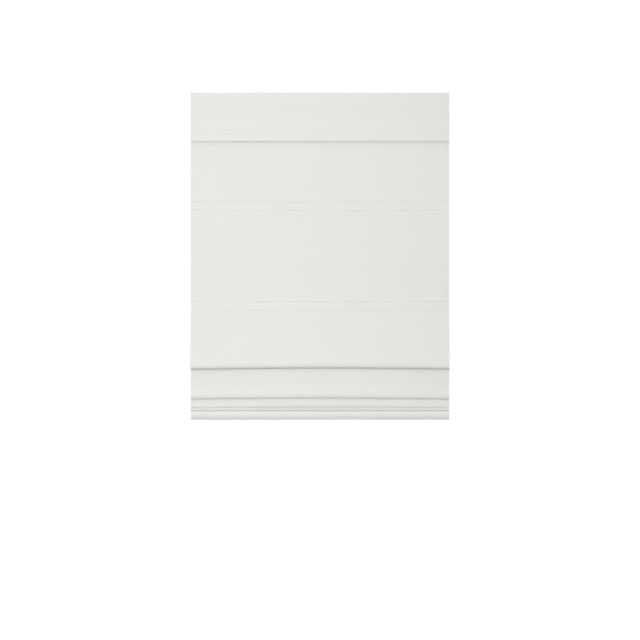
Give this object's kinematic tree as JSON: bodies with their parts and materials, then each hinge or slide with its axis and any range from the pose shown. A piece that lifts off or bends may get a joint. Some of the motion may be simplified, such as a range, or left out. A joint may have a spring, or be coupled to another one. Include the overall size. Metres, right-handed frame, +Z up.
{
  "type": "roman blind",
  "caption": "Cordless flat-fold roman blind with a fabric valance, spring-balanced lift, stiffening battens and a weighted hem, shown partly raised.",
  "frame": {"origin": "middle of the four bracket screw holes, on the brackets' top faces", "axes": "+Z up, front of the blind faces -Y, +X to the right seen from the front"},
  "size_m": [0.7366, 0.0945, 0.9336],
  "materials": {
    "cloth": "matte plain-weave ivory cloth",
    "valance_cloth": "matte plain-weave ivory cloth",
    "pocket_cloth": "matte woven tape",
    "hook_tape": "white hook-and-loop tape",
    "rail": "white powder coat",
    "moulded_white": "fine matte moulded white",
    "bracket_steel": "zinc-plated pressed steel",
    "lever_plastic": "moulded white",
    "motor_plastic": "moulded pale grey",
    "drum_plastic": "acetal, slightly glossy",
    "pin_steel": "drawn steel",
    "spring_steel": "rolled spring steel",
    "clear_plastic": "translucent nylon",
    "cord": "braided polyester",
    "batten_strip": "pultruded glass-fibre strip",
    "bar_steel": "white coated steel"
  },
  "bodies": {
    "headrail": {"headrail_channel": "rail", "end_cap_left": "moulded_white", "end_cap_right": "moulded_white", "bracket_left": "bracket_steel", "bracket_right": "bracket_steel", "lever_rivets": "bracket_steel", "shade_tape": "hook_tape", "valance_tape": "hook_tape", "valance": "valance_cloth", "shade_fabric": "cloth", "motor_base": "motor_plastic", "motor_cover": "motor_plastic", "drum_axles": "pin_steel", "flat_spring": "spring_steel", "cord_guide_left": "motor_plastic", "cord_guide_right": "motor_plastic", "guide_pins": "pin_steel", "cord_eyelets": "clear_plastic", "lift_cord_left": "cord", "lift_cord_right": "cord"},
    "lever_left": {"lever_left": "lever_plastic"},
    "lever_right": {"lever_right": "lever_plastic"},
    "cord_spool_left": {"cord_spool_left": "drum_plastic"},
    "spring_drum_storage": {"spring_drum_storage": "drum_plastic"},
    "spring_drum_output": {"spring_drum_output": "drum_plastic"},
    "cord_spool_right": {"cord_spool_right": "drum_plastic"},
    "batten_1": {"batten_1": "batten_strip", "batten_pocket_1": "pocket_cloth", "cord_rings_1": "clear_plastic"},
    "batten_2": {"batten_2": "batten_strip", "batten_pocket_2": "pocket_cloth", "cord_rings_2": "clear_plastic"},
    "batten_3": {"batten_3": "batten_strip", "batten_pocket_3": "pocket_cloth", "cord_rings_3": "clear_plastic"},
    "batten_4": {"batten_4": "batten_strip", "batten_pocket_4": "pocket_cloth", "cord_rings_4": "clear_plastic"},
    "hem": {"batten_5": "batten_strip", "batten_pocket_5": "pocket_cloth", "cord_rings_5": "clear_plastic", "cord_beads": "clear_plastic", "bottom_bar": "bar_steel", "bar_cap_left": "moulded_white", "bar_cap_right": "moulded_white"}
  },
  "joints": [
    {"name": "batten_1_slide", "type": "slide", "parent": "headrail", "child": "batten_1", "axis": [0, 0, 1], "range_m": [0, 0.2735], "deforming": ["shade_fabric", "lift_cord_left", "lift_cord_right"]},
    {"name": "batten_2_slide", "type": "slide", "parent": "batten_1", "child": "batten_2", "axis": [0, 0, 1], "range_m": [0, 0.2538], "deforming": ["shade_fabric", "lift_cord_left", "lift_cord_right"]},
    {"name": "batten_3_slide", "type": "slide", "parent": "batten_2", "child": "batten_3", "axis": [0, 0, 1], "range_m": [-0.1681, 0.0857], "deforming": ["shade_fabric", "lift_cord_left", "lift_cord_right"]},
    {"name": "batten_4_slide", "type": "slide", "parent": "batten_3", "child": "batten_4", "axis": [0, 0, 1], "range_m": [-0.2538, 0], "deforming": ["shade_fabric", "lift_cord_left", "lift_cord_right"]},
    {"name": "hem_slide", "type": "slide", "parent": "batten_4", "child": "hem", "axis": [0, 0, 1], "range_m": [-0.2538, 0], "deforming": ["shade_fabric", "lift_cord_left", "lift_cord_right"]},
    {"name": "lever_left_swivel", "type": "hinge", "parent": "headrail", "child": "lever_left", "pos_m": [-0.288, 0.005, -0.003], "axis": [0, 0, 1], "range_deg": [-90, 0]},
    {"name": "lever_right_swivel", "type": "hinge", "parent": "headrail", "child": "lever_right", "pos_m": [0.312, 0.005, -0.003], "axis": [0, 0, 1], "range_deg": [-90, 0]},
    {"name": "cord_spool_left_spin", "type": "hinge", "parent": "headrail", "child": "cord_spool_left", "pos_m": [-0.0405, 0, -0.0208], "axis": [0, 0, 1], "range_deg": [-1071, 547]},
    {"name": "spring_drum_storage_spin", "type": "hinge", "parent": "headrail", "child": "spring_drum_storage", "pos_m": [-0.0135, 0, -0.0208], "axis": [0, 0, 1], "range_deg": [-547, 1071]},
    {"name": "spring_drum_output_spin", "type": "hinge", "parent": "headrail", "child": "spring_drum_output", "pos_m": [0.0135, 0, -0.0208], "axis": [0, 0, 1], "range_deg": [-1071, 547]},
    {"name": "cord_spool_right_spin", "type": "hinge", "parent": "headrail", "child": "cord_spool_right", "pos_m": [0.0405, 0, -0.0208], "axis": [0, 0, 1], "range_deg": [-547, 1071]}
  ],
  "couplings": [
    {"joint": "cord_spool_left_spin", "follows": "batten_3_slide", "rad_per_m": 111.11},
    {"joint": "spring_drum_storage_spin", "follows": "batten_3_slide", "rad_per_m": -111.11},
    {"joint": "spring_drum_output_spin", "follows": "batten_3_slide", "rad_per_m": 111.11},
    {"joint": "cord_spool_right_spin", "follows": "batten_3_slide", "rad_per_m": -111.11}
  ]
}
